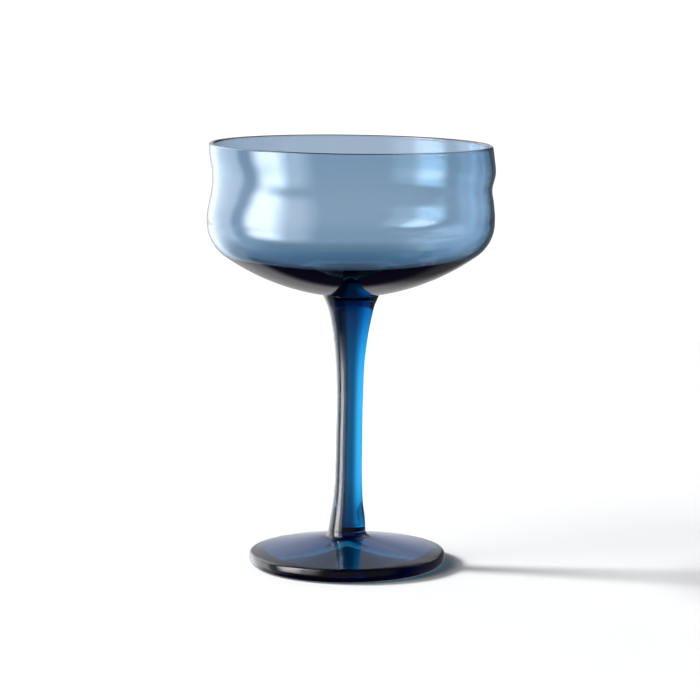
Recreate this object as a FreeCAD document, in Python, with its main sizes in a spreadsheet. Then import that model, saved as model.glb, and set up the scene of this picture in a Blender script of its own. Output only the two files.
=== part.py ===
"""Stemmed cocktail glass, hot-worked in three gathers: a blown bowl, a drawn stem and a spun foot.

Frame: +Z up, millimetres, origin on the table under the middle of the whole glass.
The glass is hand made: its bowl stands a little to the +X side of its foot, and the origin
is midway between their two axes. The bowl's wall swells and pinches in rings that are
slightly off centre, and its rim is higher on the -X side.
"""
import FreeCAD, Part
import math
import os
import Sketcher
from FreeCAD import Placement, Rotation, Vector

MINIMUM_VOLUME = 1000.0

# Angles in degrees, and one radius, that the outlines start from; their smooth joins set the true ones.
FOOT_SLOPE = 11.0
HIP_DEGREES = -55.0
FLOOR_DEGREES = -76.0
OUTER_HIP_CURVE = 90.0

# Heights are above the table. A piece's own rises are above its lower joint face.
DIMENSIONS = (
    ("foot_radius", 37.9),
    ("foot_edge_top", 5.6),
    ("foot_top_round", 1.3),
    ("foot_bottom_round", 3.2),
    ("bearing_radius", 31.0),
    ("recess_rise", 4.8),
    ("foot_joint_height", 13.4),
    ("foot_joint_radius", 7.2),
    ("hub_round", 2.4),
    ("bowl_joint_height", 105.6),
    ("bowl_joint_radius", 11.0),
    ("bowl_lean", 1.6),
    ("cone_radius", 15.0),
    ("cone_rise", 0.8),
    ("belly_curve", 15.4),
    ("floor_rise", 7.2),
    ("floor_curve", 150.0),
    ("hip_curve", 36.0),
    ("rim_tilt", 0.75),
    ("rim_round", 0.8),
)

# The stem's rings: name, rise above the foot joint, radius, shift towards +X.
STEM_RINGS = (
    ("root", 0.0, 7.2, 0.0),
    ("ankle", 4.6, 6.75, 0.25),
    ("calf", 10.6, 5.85, 0.4),
    ("lower", 18.6, 5.25, 0.6),
    ("middle", 34.6, 5.03, 0.85),
    ("upper", 52.6, 5.02, 1.2),
    ("throat", 66.6, 5.55, 1.35),
    ("collar", 76.6, 6.75, 1.5),
    ("flare", 82.6, 7.85, 1.6),
    ("spread", 87.6, 9.05, 1.6),
    ("brim", 90.2, 10.15, 1.6),
    ("crown", 92.2, 11.0, 1.6),
)

# The wall's rings: name, rise above the bowl joint, radius, shift towards +X, wall thickness.
WALL_RINGS = (
    ("belly", 27.9, 55.15, 0.0, 1.6),
    ("shoulder", 30.6, 55.15, 0.0, 1.45),
    ("crest", 35.6, 54.5, 0.2, 1.4),
    ("waist", 40.6, 53.7, 0.4, 1.5),
    ("swell", 46.9, 54.25, 1.15, 1.65),
    ("lip", 52.9, 54.45, 0.5, 1.8),
    ("rim", 57.85, 54.35, 0.0, 1.8),
)


def fill_sheet(document):
    """Write every driving dimension into the spreadsheet, one aliased cell each."""
    sheet = document.addObject("Spreadsheet::Sheet", "dims")
    cells = list(DIMENSIONS)
    for name, rise, radius, shift in STEM_RINGS:
        cells += [(name + "_rise", rise), (name + "_radius", radius), (name + "_shift", shift)]
    for name, rise, radius, shift, wall in WALL_RINGS:
        cells += [(name + "_rise", rise), (name + "_radius", radius), (name + "_shift", shift)]
        cells.append((name + "_wall", wall))
    for row, (alias, value) in enumerate(cells, start=1):
        sheet.set("A%d" % row, alias)
        sheet.set("B%d" % row, str(value))
        sheet.setAlias("B%d" % row, alias)
    document.recompute()
    return dict(cells)


def make_body(document, name):
    """Add a body whose label names its piece."""
    body = document.addObject("PartDesign::Body", name)
    body.Label = name
    return body


def origin_part(body, role):
    """Find one of the body's own origin planes or axes."""
    return next(feature for feature in body.Origin.OriginFeatures if feature.Role == role)


def add_sketch(body, name, plane_role):
    """Attach an empty sketch to one of the body's origin planes."""
    sketch = body.newObject("Sketcher::SketchObject", name)
    sketch.AttachmentSupport = (origin_part(body, plane_role), [""])
    sketch.MapMode = "FlatFace"
    return sketch


def bind(sketch, name, expression, constraint):
    """Add a named constraint whose value follows the sheet."""
    index = sketch.addConstraint(constraint)
    sketch.renameConstraint(index, name)
    sketch.setExpression("Constraints." + name, expression)


def size(sketch, name, expression, kind, *where):
    """Add a sized constraint whose value follows the sheet."""
    bind(sketch, name, expression, Sketcher.Constraint(kind, *where))


def point_from(start, distance, degrees):
    """Go a distance from an (x, y) point in a direction."""
    angle = math.radians(degrees)
    return (start[0] + distance * math.cos(angle), start[1] + distance * math.sin(angle))


def add_line(sketch, start, end):
    """Add a straight line between two (x, y) points."""
    return sketch.addGeometry(Part.LineSegment(Vector(*start, 0), Vector(*end, 0)), False)


def add_arc(sketch, centre, radius, start_degrees, end_degrees):
    """Add an anticlockwise arc about a centre (x, y); its ends are points 1 and 2, its centre point 3."""
    circle = Part.Circle(Vector(*centre, 0), Vector(0, 0, 1), radius)
    arc = Part.ArcOfCircle(circle, math.radians(start_degrees), math.radians(end_degrees))
    return sketch.addGeometry(arc, False)


def join(sketch, first, first_point, second, second_point, kind="Coincident"):
    """Join two segments end to end; the kind Tangent makes the joint smooth."""
    sketch.addConstraint(Sketcher.Constraint(kind, first, first_point, second, second_point))


def constrain(sketch, kind, *where):
    """Add a constraint that carries no size."""
    sketch.addConstraint(Sketcher.Constraint(kind, *where))


def revolve(body, sketch):
    """Turn a closed half outline about the body's Z axis."""
    feature = body.newObject("PartDesign::Revolution", sketch.Name + "_turned")
    feature.Profile = sketch
    feature.ReferenceAxis = (origin_part(body, "Z_Axis"), [""])
    feature.Angle = 360.0
    sketch.Visibility = False
    return feature


def add_ring(body, name, radius, radius_expression):
    """Add a circle across the body at the rise and shift that the sheet gives for this ring."""
    sketch = add_sketch(body, name, "XY_Plane")
    ring = name.split("_")[0]
    sketch.setExpression("AttachmentOffset.Base.x", "dims.%s_shift" % ring)
    sketch.setExpression("AttachmentOffset.Base.z", "dims.%s_rise" % ring)
    circle = sketch.addGeometry(Part.Circle(Vector(0, 0, 0), Vector(0, 0, 1), radius), False)
    constrain(sketch, "Coincident", circle, 3, -1, 1)
    bind(sketch, "ring_radius", radius_expression, Sketcher.Constraint("Radius", circle, radius))
    return sketch


def loft(body, kind, name, rings):
    """Blend a solid, or a hollow, through a stack of rings."""
    feature = body.newObject("PartDesign::" + kind, name)
    feature.Profile = rings[0]
    feature.Sections = rings[1:]
    feature.Ruled = False
    return feature


def build_foot(document, dims):
    """Spun foot: a shallow cone with a round edge, hollowed underneath so that it stands on a ring."""
    body = make_body(document, "foot")
    body.setExpression("Placement.Base.x", "-dims.bowl_lean / 2")
    sketch = add_sketch(body, "foot_outline", "XZ_Plane")
    edge = dims["foot_radius"]
    top = dims["foot_joint_height"]
    neck = dims["foot_joint_radius"]
    bottom_round = dims["foot_bottom_round"]
    top_round = dims["foot_top_round"]
    hub_round = dims["hub_round"]
    shoulder = dims["foot_edge_top"]
    bearing = dims["bearing_radius"]
    recess = dims["recess_rise"]

    hollow = add_line(sketch, (0, recess), (bearing, 0))
    bearing_ring = add_line(sketch, (bearing, 0), (edge - bottom_round, 0))
    lower_edge = add_arc(sketch, (edge - bottom_round, bottom_round), bottom_round, 270, 360)
    side = add_line(sketch, (edge, bottom_round), (edge, shoulder - top_round))
    upper_edge = add_arc(sketch, (edge - top_round, shoulder - top_round), top_round, 0, 90 - FOOT_SLOPE)
    cone = add_line(sketch, (edge - top_round, shoulder), (neck + hub_round, top - hub_round))
    hub = add_arc(sketch, (neck + hub_round, top), hub_round, 180, 270 - FOOT_SLOPE)
    joint = add_line(sketch, (neck, top), (0, top))
    axis = add_line(sketch, (0, top), (0, recess))

    join(sketch, axis, 2, hollow, 1)
    join(sketch, hollow, 2, bearing_ring, 1)
    join(sketch, bearing_ring, 2, lower_edge, 1, "Tangent")
    join(sketch, lower_edge, 2, side, 1, "Tangent")
    join(sketch, side, 2, upper_edge, 1, "Tangent")
    join(sketch, upper_edge, 2, cone, 1, "Tangent")
    join(sketch, cone, 2, hub, 2, "Tangent")
    join(sketch, hub, 1, joint, 1)
    join(sketch, joint, 2, axis, 1)
    constrain(sketch, "Vertical", side)
    constrain(sketch, "Horizontal", joint)
    constrain(sketch, "Vertical", axis)
    constrain(sketch, "PointOnObject", axis, 1, -2)
    constrain(sketch, "PointOnObject", hollow, 2, -1)
    constrain(sketch, "Horizontal", bearing_ring)
    constrain(sketch, "Horizontal", hub, 3, hub, 1)

    size(sketch, "recess", "dims.recess_rise", "DistanceY", -1, 1, hollow, 1, recess)
    size(sketch, "bearing", "dims.bearing_radius", "DistanceX", -1, 1, hollow, 2, bearing)
    size(sketch, "edge", "dims.foot_radius", "DistanceX", -1, 1, side, 1, edge)
    size(sketch, "shoulder", "dims.foot_edge_top", "DistanceY", -1, 1, cone, 1, shoulder)
    size(sketch, "neck", "dims.foot_joint_radius", "DistanceX", -1, 1, hub, 1, neck)
    size(sketch, "joint_height", "dims.foot_joint_height", "DistanceY", -1, 1, hub, 1, top)
    size(sketch, "lower_round", "dims.foot_bottom_round", "Radius", lower_edge, bottom_round)
    size(sketch, "upper_round", "dims.foot_top_round", "Radius", upper_edge, top_round)
    size(sketch, "hub_round", "dims.hub_round", "Radius", hub, hub_round)
    revolve(body, sketch)
    return body


def build_stem(document):
    """Drawn stem: solid, waisted, spreading at both joints, and leaning a little towards +X."""
    body = make_body(document, "stem")
    body.setExpression("Placement.Base.x", "-dims.bowl_lean / 2")
    body.setExpression("Placement.Base.z", "dims.foot_joint_height")
    rings = []
    for name, rise, radius, shift in STEM_RINGS:
        rings.append(add_ring(body, name + "_ring", radius, "dims.%s_radius" % name))
    loft(body, "AdditiveLoft", "drawn_stem", rings)
    return body


def bowl_outline(body, dims):
    """Half outline of the bowl's turned lower part, from its joint up to the belly."""
    sketch = add_sketch(body, "bowl_outline", "XZ_Plane")
    neck = dims["bowl_joint_radius"]
    cone_x = dims["cone_radius"]
    cone_y = dims["cone_rise"]
    belly = dims["belly_radius"]
    rise = dims["belly_rise"]
    curve = dims["belly_curve"]
    wall = dims["belly_wall"]
    floor = dims["floor_rise"]
    floor_curve = dims["floor_curve"]
    hip_curve = dims["hip_curve"]
    cone_degrees = math.degrees(math.atan2(cone_y, cone_x - neck)) - 90.0
    belly_centre = (belly - curve, rise)
    outer_centre = point_from((cone_x, cone_y), OUTER_HIP_CURVE, cone_degrees + 180.0)
    hip_start = point_from(belly_centre, curve - wall, HIP_DEGREES)
    hip_centre = point_from(hip_start, hip_curve, HIP_DEGREES + 180.0)

    joint = add_line(sketch, (0, 0), (neck, 0))
    cone = add_line(sketch, (neck, 0), (cone_x, cone_y))
    outer_hip = add_arc(sketch, outer_centre, OUTER_HIP_CURVE, cone_degrees, HIP_DEGREES)
    outer_belly = add_arc(sketch, belly_centre, curve, HIP_DEGREES, 0)
    step = add_line(sketch, (belly, rise), (belly - wall, rise))
    inner_belly = add_arc(sketch, belly_centre, curve - wall, HIP_DEGREES, 0)
    inner_hip = add_arc(sketch, hip_centre, hip_curve, FLOOR_DEGREES, HIP_DEGREES)
    bowl_floor = add_arc(sketch, (0, floor + floor_curve), floor_curve, -90, FLOOR_DEGREES)
    axis = add_line(sketch, (0, floor), (0, 0))

    join(sketch, joint, 1, -1, 1)
    join(sketch, joint, 2, cone, 1)
    join(sketch, cone, 2, outer_hip, 1, "Tangent")
    join(sketch, outer_hip, 2, outer_belly, 1, "Tangent")
    join(sketch, outer_belly, 2, step, 1)
    join(sketch, step, 2, inner_belly, 2)
    join(sketch, inner_belly, 1, inner_hip, 2, "Tangent")
    join(sketch, inner_hip, 1, bowl_floor, 2, "Tangent")
    join(sketch, bowl_floor, 1, axis, 1)
    join(sketch, axis, 2, joint, 1)
    constrain(sketch, "Horizontal", joint)
    constrain(sketch, "Vertical", axis)
    constrain(sketch, "Horizontal", step)
    constrain(sketch, "Horizontal", outer_belly, 3, outer_belly, 2)
    constrain(sketch, "Horizontal", inner_belly, 3, inner_belly, 2)
    constrain(sketch, "PointOnObject", bowl_floor, 3, -2)

    size(sketch, "neck", "dims.bowl_joint_radius", "DistanceX", -1, 1, cone, 1, neck)
    size(sketch, "cone_edge", "dims.cone_radius", "DistanceX", -1, 1, cone, 2, cone_x)
    size(sketch, "cone_top", "dims.cone_rise", "DistanceY", -1, 1, cone, 2, cone_y)
    size(sketch, "belly", "dims.belly_radius", "DistanceX", -1, 1, step, 1, belly)
    size(sketch, "belly_top", "dims.belly_rise", "DistanceY", -1, 1, step, 1, rise)
    size(sketch, "inside", "dims.belly_radius - dims.belly_wall", "DistanceX", -1, 1, step, 2, belly - wall)
    size(sketch, "belly_curve", "dims.belly_curve", "Radius", outer_belly, curve)
    size(sketch, "wall_curve", "dims.belly_curve - dims.belly_wall", "Radius", inner_belly, curve - wall)
    size(sketch, "hip_curve", "dims.hip_curve", "Radius", inner_hip, hip_curve)
    size(sketch, "floor_curve", "dims.floor_curve", "Radius", bowl_floor, floor_curve)
    size(sketch, "floor_rise", "dims.floor_rise", "DistanceY", -1, 1, bowl_floor, 1, floor)
    return sketch


def rim_edges(shape, rise):
    """Name the closed edges of the mouth, the only ones that reach this rise all round."""
    names = []
    for number, edge in enumerate(shape.Edges, start=1):
        if edge.BoundBox.ZMin > rise and edge.isClosed():
            names.append("Edge%d" % number)
    return names


def build_bowl(document, dims):
    """Blown bowl: a thick turned base, and a thin wall blended through rings that are off centre."""
    body = make_body(document, "bowl")
    body.setExpression("Placement.Base.x", "dims.bowl_lean / 2")
    body.setExpression("Placement.Base.z", "dims.bowl_joint_height")
    revolve(body, bowl_outline(body, dims))

    outer = []
    inner = []
    for name, rise, radius, shift, wall in WALL_RINGS:
        outer.append(add_ring(body, name + "_ring", radius, "dims.%s_radius" % name))
        inside = "dims.%s_radius - dims.%s_wall" % (name, name)
        inner.append(add_ring(body, name + "_hollow", radius - wall, inside))
    for rim in (outer[-1], inner[-1]):
        rim.AttachmentOffset = Placement(Vector(0, 0, 0), Rotation(Vector(0, 1, 0), dims["rim_tilt"]))
        rim.setExpression("AttachmentOffset.Rotation.Angle", "dims.rim_tilt")
    loft(body, "AdditiveLoft", "blown_wall", outer)
    hollow = loft(body, "SubtractiveLoft", "blown_hollow", inner)
    document.recompute()
    rim = body.newObject("PartDesign::Fillet", "fire_polished_rim")
    rim.Base = (hollow, rim_edges(hollow.Shape, dims["lip_rise"]))
    rim.setExpression("Radius", "dims.rim_round")
    return body


def check(document, bodies):
    """Stop if any feature failed, or any piece is empty or not one valid solid."""
    for feature in document.Objects:
        if "Invalid" in feature.State or "Error" in feature.State:
            raise RuntimeError("%s did not recompute: %s" % (feature.Name, feature.State))
    for body in bodies:
        shape = body.Shape
        if shape.isNull() or not shape.isValid() or len(shape.Solids) != 1:
            raise RuntimeError("%s is not one valid solid" % body.Label)
        if shape.Volume < MINIMUM_VOLUME:
            raise RuntimeError("%s is too small" % body.Label)


def main():
    document = FreeCAD.newDocument("cocktail_glass")
    dims = fill_sheet(document)
    bodies = [build_foot(document, dims), build_stem(document), build_bowl(document, dims)]
    document.recompute()
    check(document, bodies)
    os.makedirs("parts", exist_ok=True)
    for body in bodies:
        body.Shape.exportStep("parts/%s.step" % body.Label)
        print(body.Label, round(body.Shape.Volume), body.Shape.BoundBox)


main()
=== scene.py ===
"""Looks of the hand-blown cocktail glass: three fused pieces of blue glass on a plain pale floor.

Everything is in metres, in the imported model's frame: +Z up, origin on the table under the
middle of the glass, and the glass seen from the -Y side.
"""
import bpy
import math
import numpy as np
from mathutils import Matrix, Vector


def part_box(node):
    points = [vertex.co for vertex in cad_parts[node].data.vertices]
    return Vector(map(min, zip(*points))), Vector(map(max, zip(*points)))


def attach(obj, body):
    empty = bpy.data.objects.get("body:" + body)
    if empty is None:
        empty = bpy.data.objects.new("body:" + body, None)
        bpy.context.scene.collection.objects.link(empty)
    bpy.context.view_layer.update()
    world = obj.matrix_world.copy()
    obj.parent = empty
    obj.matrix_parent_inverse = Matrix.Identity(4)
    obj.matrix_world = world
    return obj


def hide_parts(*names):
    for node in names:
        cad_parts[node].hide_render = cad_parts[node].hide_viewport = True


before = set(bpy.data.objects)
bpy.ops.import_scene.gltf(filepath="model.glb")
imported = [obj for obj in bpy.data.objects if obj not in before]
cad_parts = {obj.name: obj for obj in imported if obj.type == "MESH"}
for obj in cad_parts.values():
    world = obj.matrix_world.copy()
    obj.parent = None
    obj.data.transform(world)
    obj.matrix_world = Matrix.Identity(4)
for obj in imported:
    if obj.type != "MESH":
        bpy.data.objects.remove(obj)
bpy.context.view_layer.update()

MM = 0.001

# How many points each turned ring has.
AROUND = 384

# ---------------------------------------------------------------- places from the frame

foot_low, foot_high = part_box("foot")
stem_low, stem_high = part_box("stem")
bowl_low, bowl_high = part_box("bowl")

FOOT_X = (foot_low.x + foot_high.x) / 2
FOOT_RADIUS = (foot_high.y - foot_low.y) / 2
FOOT_JOINT_Z = foot_high.z
BOWL_JOINT_Z = bowl_low.z
BOWL_X = -FOOT_X
STEM_HEIGHT = BOWL_JOINT_Z - FOOT_JOINT_Z

# Fused faces keep this much apart so that no two surfaces lie in one plane.
JOINT_GAP = 0.005 * MM


# ---------------------------------------------------------------- shape helpers

def smooth_path(points, steps):
    """Run a smooth curve (a centripetal Catmull-Rom) through points, with steps per span."""
    knots = np.array(points, float)
    ends = np.vstack([2 * knots[0] - knots[1], knots, 2 * knots[-1] - knots[-2]])
    path = []
    for i in range(1, len(ends) - 2):
        p0, p1, p2, p3 = ends[i - 1:i + 3]
        t0 = 0.0
        t1 = t0 + np.linalg.norm(p1 - p0) ** 0.5
        t2 = t1 + np.linalg.norm(p2 - p1) ** 0.5
        t3 = t2 + np.linalg.norm(p3 - p2) ** 0.5
        for t in np.linspace(t1, t2, steps, endpoint=False):
            a1 = (t1 - t) / (t1 - t0) * p0 + (t - t0) / (t1 - t0) * p1
            a2 = (t2 - t) / (t2 - t1) * p1 + (t - t1) / (t2 - t1) * p2
            a3 = (t3 - t) / (t3 - t2) * p2 + (t - t2) / (t3 - t2) * p3
            b1 = (t2 - t) / (t2 - t0) * a1 + (t - t0) / (t2 - t0) * a2
            b2 = (t3 - t) / (t3 - t1) * a2 + (t - t1) / (t3 - t1) * a3
            path.append((t2 - t) / (t2 - t1) * b1 + (t - t1) / (t2 - t1) * b2)
    path.append(knots[-1])
    return np.array(path)


def arc(centre, radius, start, end, steps):
    """Points along an arc in the outline's plane; angles in degrees, 0 outwards, 90 up."""
    angles = np.radians(np.linspace(start, end, steps))
    return np.column_stack([centre[0] + radius * np.cos(angles), centre[1] + radius * np.sin(angles)])


def direction(start, end):
    """The angle in degrees from one (radius, height) point to another."""
    return math.degrees(math.atan2(end[1] - start[1], end[0] - start[0]))


def turned_piece(name, outline, poles, settle, fused):
    """Turn an outline of (radius, height) rings into one closed mesh, with a pole at each end.

    poles are the heights of the two end points on the axis. settle moves the turned points to
    where the hand-made glass has them. fused says, for each end, whether its disc is a joint.
    """
    angles = np.linspace(0.0, 2 * math.pi, AROUND, endpoint=False)
    radius = np.repeat(outline[:, 0], AROUND)
    height = np.repeat(outline[:, 1], AROUND)
    around = np.tile(angles, len(outline))
    rings = settle(radius * np.cos(around), radius * np.sin(around), height)
    ends = settle(np.zeros(2), np.zeros(2), np.array(poles))
    first, last = len(rings), len(rings) + 1
    faces = []
    for ring in range(len(outline) - 1):
        low, high = ring * AROUND, (ring + 1) * AROUND
        for k in range(AROUND):
            j = (k + 1) % AROUND
            faces.append((low + k, low + j, high + j, high + k))
    top = (len(outline) - 1) * AROUND
    for k in range(AROUND):
        faces.append((first, (k + 1) % AROUND, k))
    for k in range(AROUND):
        faces.append((last, top + k, top + (k + 1) % AROUND))
    joined = [False] * (len(faces) - 2 * AROUND) + [fused[0]] * AROUND + [fused[1]] * AROUND
    mesh = bpy.data.meshes.new(name)
    mesh.from_pydata(np.vstack([rings, ends]).tolist(), [], faces)
    mesh.polygons.foreach_set("use_smooth", [not flat for flat in joined])
    layer = mesh.attributes.new("fused", "FLOAT", "FACE")
    layer.data.foreach_set("value", [float(flat) for flat in joined])
    mesh.update()
    piece = bpy.data.objects.new(name, mesh)
    bpy.context.scene.collection.objects.link(piece)
    return piece


# ---------------------------------------------------------------- the foot

EDGE_STEPS = 12


def make_foot():
    """Spun foot: a shallow cone with a round edge, standing on a ring round a shallow hollow."""
    joint_radius = 7.2 * MM
    bottom_round = 3.2 * MM
    top_round = 1.3 * MM
    edge_top = 5.6 * MM
    hub_round = 2.4 * MM
    bearing = 31.0 * MM
    recess = 4.8 * MM
    hollow_steps = 12
    hub_centre = (joint_radius + hub_round, FOOT_JOINT_Z)
    edge_centre = (FOOT_RADIUS - top_round, edge_top - top_round)
    slope_degrees = 11.1
    shares = [k / hollow_steps for k in range(1, hollow_steps)]
    underside = [(bearing * share, recess * (1 - share)) for share in shares]
    underside += [(bearing - 1.5 * MM, recess * 0.048), (bearing, 0.02 * MM), (bearing + 1.5 * MM, 0.0)]
    outline = np.vstack([
        underside,
        arc((FOOT_RADIUS - bottom_round, bottom_round), bottom_round, -90, 0, EDGE_STEPS),
        arc(edge_centre, top_round, 0, 90 - slope_degrees, EDGE_STEPS),
        arc(hub_centre, hub_round, 270 - slope_degrees, 180, 16),
    ])
    edge = len(underside) + 2 * EDGE_STEPS
    cone = np.linspace(outline[edge - 1], outline[edge], 26)[1:-1]
    outline = np.vstack([outline[:edge], cone, outline[edge:]])

    def settle(x, y, z):
        return np.column_stack([x + FOOT_X, y, z])

    return turned_piece("foot_glass", outline, (recess, FOOT_JOINT_Z), settle, (False, True))


# ---------------------------------------------------------------- the stem

# Rise above the foot joint, radius and shift towards +X, in millimetres.
STEM_RINGS = (
    (0.0, 7.2, 0.0),
    (4.6, 6.75, 0.25),
    (10.6, 5.85, 0.4),
    (18.6, 5.25, 0.6),
    (34.6, 5.03, 0.85),
    (52.6, 5.02, 1.2),
    (66.6, 5.55, 1.35),
    (76.6, 6.75, 1.5),
    (82.6, 7.85, 1.6),
    (87.6, 9.05, 1.6),
    (90.2, 10.15, 1.6),
    (92.2, 11.0, 1.6),
)


def make_stem():
    """Drawn stem: solid, waisted, and leaning a little towards +X."""
    rings = smooth_path(STEM_RINGS, 12) * MM
    outline = np.column_stack([rings[:, 1], rings[:, 0] + FOOT_JOINT_Z])
    outline[0, 1] += JOINT_GAP
    outline[-1, 1] -= JOINT_GAP

    def settle(x, y, z):
        shift = np.interp(z, outline[:, 1], rings[:, 2])
        return np.column_stack([x + shift + FOOT_X, y, z])

    poles = (outline[0, 1], outline[-1, 1])
    return turned_piece("stem_glass", outline, poles, settle, (True, True))


# ---------------------------------------------------------------- the bowl

# The wall's rings: rise above the bowl joint, radius, shift towards +X, wall, in millimetres.
WALL_RINGS = (
    (27.9, 55.15, 0.0, 1.6),
    (30.6, 55.15, 0.0, 1.45),
    (35.6, 54.5, 0.2, 1.4),
    (40.6, 53.7, 0.4, 1.5),
    (46.9, 54.25, 1.15, 1.65),
    (52.9, 54.45, 0.5, 1.8),
    (57.85, 54.35, 0.0, 1.8),
)
RIM_TILT = math.radians(0.75)

# The twist in the wall: how far, where round the bowl (0 is the front), and at what two heights.
TWIST = 1.15 * MM
TWIST_WAVES = 3.2
TWIST_AZIMUTH = math.radians(-43.0)
TWIST_HIGH = 151.0 * MM
TWIST_LOW = 139.0 * MM
TWIST_HIGH_WIDTH = 4.5 * MM
TWIST_LOW_WIDTH = 8.0 * MM
WALL_RADIUS = 54.0 * MM


def bowl_base():
    """The turned lower part: outer and inner outlines from the joint and the floor to the belly."""
    neck = np.array([11.0, 0.0])
    cone_edge = np.array([15.0, 0.8])
    belly_rise, belly, _, wall = WALL_RINGS[0]
    curve = 15.4
    centre = np.array([belly - curve, belly_rise])
    slope = math.atan2(cone_edge[1] - neck[1], cone_edge[0] - neck[0])
    inward = np.array([-math.sin(slope), math.cos(slope)])
    away = cone_edge - centre
    hip = (curve ** 2 - away @ away) / (2 * (inward @ away + curve))
    hip_centre = cone_edge + hip * inward
    turn = direction(hip_centre, centre)
    cone = np.linspace(neck, cone_edge, 6)
    outer_hip = arc(hip_centre, hip, math.degrees(slope) - 90, turn, 32)
    outer_belly = arc(centre, curve, turn, 0, 24)
    outer = np.vstack([cone, outer_hip[1:], outer_belly[1:]])

    floor, floor_curve, inner_hip = 7.2, 150.0, 36.0
    floor_centre = np.array([0.0, floor + floor_curve])
    reach_belly = inner_hip - (curve - wall)
    reach_floor = floor_curve - inner_hip
    gap = centre - floor_centre
    span = np.linalg.norm(gap)
    along = (reach_floor ** 2 - reach_belly ** 2 + span ** 2) / (2 * span)
    side = math.sqrt(reach_floor ** 2 - along ** 2)
    unit = gap / span
    inner_centre = floor_centre + along * unit + side * np.array([unit[1], -unit[0]])
    wall_turn = direction(inner_centre, centre)
    floor_turn = direction(floor_centre, inner_centre)
    inner = np.vstack([
        arc(centre, curve - wall, 0, wall_turn, 20)[1:],
        arc(inner_centre, inner_hip, wall_turn, floor_turn, 24)[1:],
        arc(floor_centre, floor_curve, floor_turn, -90, 26)[1:-1],
    ])
    return outer, inner, floor


def wall_twist(x, y, height):
    """How far the hand-worked wall stands out at its front left, where its rings are twisted."""
    turn = np.arctan2(x, -y) - TWIST_AZIMUTH
    wave = np.clip(TWIST_WAVES * turn, -math.pi, math.pi)
    around = np.sin(wave) * (0.5 + 0.5 * np.cos(wave))
    out_ring = np.exp(-((height - TWIST_HIGH) / TWIST_HIGH_WIDTH) ** 2)
    in_ring = np.exp(-((height - TWIST_LOW) / TWIST_LOW_WIDTH) ** 2)
    return TWIST * around * (0.6 * out_ring - in_ring)


def make_bowl():
    """Blown bowl: a thick turned base under a thin wavy wall with a fire-polished rim."""
    outer, inner, floor = bowl_base()
    rings = smooth_path(WALL_RINGS, 10)
    rise, radius, shift, wall = rings.T
    wall_out = np.column_stack([radius, rise])[1:]
    wall_in = np.column_stack([radius - wall, rise])[1:]
    lip = wall[-1] / 2
    lip_arc = arc((radius[-1] - lip, rise[-1] - lip), lip, 0, 180, 16)
    below_lip = rise[1:] < rise[-1] - lip
    outline = np.vstack([
        outer,
        wall_out[below_lip],
        lip_arc,
        wall_in[below_lip][::-1],
        inner,
    ]) * MM
    outline[:, 1] += BOWL_JOINT_Z
    heights = rise * MM + BOWL_JOINT_Z
    tilt_start, tilt_end = heights[0], heights[-1]

    def settle(x, y, z):
        share = np.clip((z - tilt_start) / (tilt_end - tilt_start), 0.0, 1.0)
        tilted = z - x * math.tan(RIM_TILT) * share ** 2
        out = 1.0 + wall_twist(x, y, z) / WALL_RADIUS
        moved = x * out + np.interp(z, heights, shift * MM) + BOWL_X
        return np.column_stack([moved, y * out, tilted])

    outline[0, 1] += JOINT_GAP
    poles = (outline[0, 1], floor * MM + BOWL_JOINT_Z)
    return turned_piece("bowl_glass", outline, poles, settle, (True, False))


# ---------------------------------------------------------------- materials

def glass(name, absorb, density):
    """Clear coloured glass: its colour comes from how far light travels through it."""
    material = bpy.data.materials.new(name)
    material.use_nodes = True
    nodes, links = material.node_tree.nodes, material.node_tree.links
    shader = nodes["Principled BSDF"]
    shader.inputs["Base Color"].default_value = (1.0, 1.0, 1.0, 1.0)
    shader.inputs["Roughness"].default_value = 0.0
    shader.inputs["Transmission Weight"].default_value = 1.0

    joint = nodes.new("ShaderNodeAttribute")
    joint.attribute_name = "fused"
    index = nodes.new("ShaderNodeMapRange")
    index.inputs["To Min"].default_value = 1.5
    index.inputs["To Max"].default_value = 1.0
    links.new(joint.outputs["Fac"], index.inputs["Value"])
    links.new(index.outputs["Result"], shader.inputs["IOR"])

    ripple = nodes.new("ShaderNodeTexNoise")
    ripple.inputs["Scale"].default_value = 28.0
    ripple.inputs["Detail"].default_value = 1.5
    place = nodes.new("ShaderNodeTexCoord")
    links.new(place.outputs["Object"], ripple.inputs["Vector"])
    bump = nodes.new("ShaderNodeBump")
    bump.inputs["Strength"].default_value = 0.12
    bump.inputs["Distance"].default_value = 1.0 * MM
    links.new(ripple.outputs["Fac"], bump.inputs["Height"])
    links.new(bump.outputs["Normal"], shader.inputs["Normal"])

    depth = nodes.new("ShaderNodeVolumeAbsorption")
    depth.inputs["Color"].default_value = (*absorb, 1.0)
    depth.inputs["Density"].default_value = density
    links.new(depth.outputs["Volume"], nodes["Material Output"].inputs["Volume"])
    return material


PAPER_GREY = (0.34, 0.34, 0.34)


def floor_material():
    """Plain pale paper."""
    material = bpy.data.materials.new("pale_floor")
    material.use_nodes = True
    shader = material.node_tree.nodes["Principled BSDF"]
    shader.inputs["Roughness"].default_value = 0.9
    shader.inputs["Specular IOR Level"].default_value = 0.1
    shader.inputs["Base Color"].default_value = (*PAPER_GREY, 1.0)
    return material


# ---------------------------------------------------------------- put together

def put(piece, node, material):
    """Give a piece its glass and put it in place of its CAD node."""
    piece.data.materials.append(material)
    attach(piece, "root")
    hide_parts(node)


BOWL_BLUE = (0.13, 0.487, 0.69)
BOWL_DENSITY = 380.0
STEM_BLUE = (0.40, 0.765, 0.860)
STEM_DENSITY = 800.0
FOOT_BLUE = (0.20, 0.744, 0.86)
FOOT_DENSITY = 500.0

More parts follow.
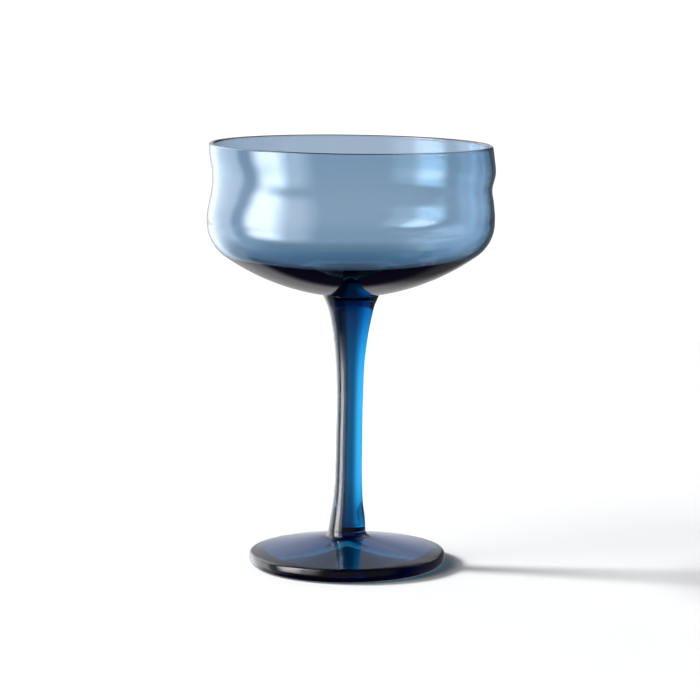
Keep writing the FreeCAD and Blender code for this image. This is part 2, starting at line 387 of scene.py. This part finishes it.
put(make_foot(), "foot", glass("foot_blue_glass", FOOT_BLUE, FOOT_DENSITY))
put(make_stem(), "stem", glass("stem_blue_glass", STEM_BLUE, STEM_DENSITY))
put(make_bowl(), "bowl", glass("bowl_blue_glass", BOWL_BLUE, BOWL_DENSITY))


# ---------------------------------------------------------------- floor, light and camera

def flat_sheet(name, width, depth, height, material):
    """A flat rectangle lying level at this height."""
    x, y = width / 2, depth / 2
    mesh = bpy.data.meshes.new(name)
    mesh.from_pydata([(-x, -y, 0), (x, -y, 0), (x, y, 0), (-x, y, 0)], [], [(0, 1, 2, 3)])
    mesh.materials.append(material)
    sheet = bpy.data.objects.new(name, mesh)
    sheet.location.z = height
    bpy.context.scene.collection.objects.link(sheet)
    return sheet


def make_stage():
    """Pale paper, for the camera and the shadows. The glass sees the studio in place of it, apart
    from a small square of paper under the foot, which shows through the glass."""
    floor = flat_sheet("floor", 1.3, 1.3, -0.02 * MM, floor_material())
    floor.visible_glossy = False
    floor.visible_transmission = False
    under = flat_sheet("floor_under_foot", 0.1, 0.1, -0.01 * MM, floor_material())
    under.visible_glossy = False


class World:
    """The studio round the glass, as a node tree that works from a direction's two angles."""

    def __init__(self):
        world = bpy.data.worlds.new("studio")
        bpy.context.scene.world = world
        world.use_nodes = True
        self.nodes, self.links = world.node_tree.nodes, world.node_tree.links
        place = self.nodes.new("ShaderNodeTexCoord")
        split = self.nodes.new("ShaderNodeSeparateXYZ")
        self.links.new(place.outputs["Generated"], split.inputs["Vector"])
        self.across, self.deep, self.up = split.outputs
        toward = self.math("MULTIPLY", self.deep, -1.0)
        turn = self.math("ARCTAN2", self.across, toward)
        self.azimuth = self.math("MULTIPLY", turn, 180 / math.pi)
        rise = self.math("ARCSINE", self.up, 0.0)
        self.elevation = self.math("MULTIPLY", rise, 180 / math.pi)
        self.light = None

    def math(self, kind, first, second):
        """One math node; numbers and sockets both work."""
        node = self.nodes.new("ShaderNodeMath")
        node.operation = kind
        for socket, value in zip(node.inputs, (first, second)):
            if isinstance(value, (int, float)):
                socket.default_value = value
            else:
                self.links.new(value, socket)
        return node.outputs["Value"]

    def ramp(self, value, start, end, low, high):
        """A smooth step from low to high as value goes from start to end."""
        node = self.nodes.new("ShaderNodeMapRange")
        node.interpolation_type = "SMOOTHSTEP"
        for name, number in zip(("From Min", "From Max", "To Min", "To Max"), (start, end, low, high)):
            node.inputs[name].default_value = number
        self.links.new(value, node.inputs["Value"])
        return node.outputs["Result"]

    def window(self, value, middle, half, soft):
        """1 near the middle value, falling softly to 0 past half."""
        offset = self.math("ABSOLUTE", self.math("SUBTRACT", value, middle), 0.0)
        return self.ramp(offset, half - soft, half + soft, 1.0, 0.0)

    def add(self, strength, colour):
        """Add light of this strength and colour to the world."""
        node = self.nodes.new("ShaderNodeVectorMath")
        node.operation = "SCALE"
        node.inputs[0].default_value = colour
        self.links.new(strength, node.inputs["Scale"])
        if self.light is None:
            self.light = node.outputs["Vector"]
            return
        total = self.nodes.new("ShaderNodeVectorMath")
        total.operation = "ADD"
        self.links.new(self.light, total.inputs[0])
        self.links.new(node.outputs["Vector"], total.inputs[1])
        self.light = total.outputs["Vector"]

    def softbox(self, azimuth, half_width, elevation, half_height, soft, strength, colour):
        """A soft-edged rectangular light at these angles; azimuth 0 is the camera's side."""
        wide = self.window(self.azimuth, azimuth, half_width, soft)
        high = self.window(self.elevation, elevation, half_height, soft)
        mask = self.math("MULTIPLY", wide, high)
        self.add(self.math("MULTIPLY", mask, strength), colour)

    def finish(self, seen_by_camera):
        """Show the camera plain white, and every other ray the studio."""
        background = self.nodes["Background"]
        ray = self.nodes.new("ShaderNodeLightPath")
        mix = self.nodes.new("ShaderNodeMix")
        mix.data_type = "VECTOR"
        self.links.new(ray.outputs["Is Camera Ray"], mix.inputs["Factor"])
        self.links.new(self.light, mix.inputs[4])
        mix.inputs[5].default_value = (seen_by_camera,) * 3
        self.links.new(mix.outputs[1], background.inputs["Color"])


WHITE = (1.0, 1.0, 1.0)


def make_studio():
    """What the glass sees: a pale wall behind, darker at the right, a panel behind at the left,
    a dim room before it, two softboxes at the left and a weak one behind at the right.
    The camera itself sees plain white in place of all this."""
    world = World()
    back = world.math("ARCTAN2", world.across, world.deep)
    back = world.math("MULTIPLY", back, 180 / math.pi)

    behind = world.ramp(world.deep, -0.35, 0.25, 0.05, 0.75)
    wall_foot = world.ramp(world.elevation, -16.0, -12.0, 0.0, 1.0)
    wall_top = world.ramp(world.elevation, 22.0, 50.0, 1.0, 0.3)
    low_right = world.ramp(back, 4.0, 14.0, 1.0, 0.2)
    high_right = world.ramp(world.elevation, 12.0, 26.0, 0.0, 1.0)
    right = world.math("MAXIMUM", low_right, high_right)
    behind = world.math("MULTIPLY", behind, right)
    wall = world.math("MULTIPLY", wall_foot, wall_top)
    world.add(world.math("MULTIPLY", behind, wall), (0.88, 0.89, 1.0))

    table_far = world.ramp(world.elevation, -16.0, -12.0, 0.8, 0.0)
    table_near = world.ramp(world.elevation, -44.0, -36.0, 0.0, 1.0)
    table = world.math("MULTIPLY", table_far, table_near)
    world.add(world.math("MULTIPLY", behind, table), (0.96, 0.94, 1.0))
    world.add(world.ramp(world.elevation, -44.0, -36.0, 0.05, 0.0), (0.45, 0.35, 1.0))

    panel_start = world.ramp(back, -32.0, -8.0, 1.0, 0.0)
    panel_end = world.ramp(back, -80.0, -70.0, 0.0, 1.0)
    panel = world.math("MULTIPLY", panel_start, panel_end)
    panel_height = world.window(world.elevation, 12.0, 36.0, 10.0)
    panel = world.math("MULTIPLY", panel, panel_height)
    world.add(world.math("MULTIPLY", panel, 2.1), (0.95, 0.97, 1.0))

    room = world.ramp(world.deep, -0.7, -0.3, 0.15, 0.0)
    room_height = world.window(world.elevation, 5.0, 42.0, 8.0)
    world.add(world.math("MULTIPLY", room, room_height), (0.92, 0.94, 1.0))

    world.softbox(-72, 13, 20, 34, 9, 12.0, WHITE)
    world.softbox(-50, 13, 20, 36, 11, 3.0, WHITE)
    world.softbox(138, 14, 40, 16, 8, 0.7, (0.9, 0.95, 1.0))
    world.finish(1.1)


def make_key():
    """Soft sun, 31 degrees up at the left, for the paper only: its shadows fall to the right."""
    sun = bpy.data.lights.new("key", "SUN")
    sun.energy = 11.5
    sun.angle = math.radians(12.0)
    holder = bpy.data.objects.new("key", sun)
    toward = Vector((-0.98, 0.20, 0.60))
    holder.rotation_euler = toward.to_track_quat("Z", "Y").to_euler()
    holder.visible_glossy = False
    holder.visible_transmission = False
    bpy.context.scene.collection.objects.link(holder)


def make_camera():
    """Camera 1.1 m in front of the glass and 24 cm above the table, tipped down by 8 degrees."""
    camera = bpy.data.cameras.new("camera")
    camera.lens = 149.1
    camera.sensor_width = 36.0
    camera.clip_end = 50.0
    holder = bpy.data.objects.new("camera", camera)
    holder.location = (FOOT_X + 1.22 * MM, -1.107, 0.2385)
    holder.rotation_euler = (math.radians(90 - 7.95), 0.0, 0.0)
    bpy.context.scene.collection.objects.link(holder)
    bpy.context.scene.camera = holder


make_stage()
make_studio()
make_key()
make_camera()

scene = bpy.context.scene
scene.view_settings.view_transform = "Standard"
scene.cycles.max_bounces = 32
scene.cycles.transmission_bounces = 24
scene.cycles.glossy_bounces = 12
scene.cycles.diffuse_bounces = 4
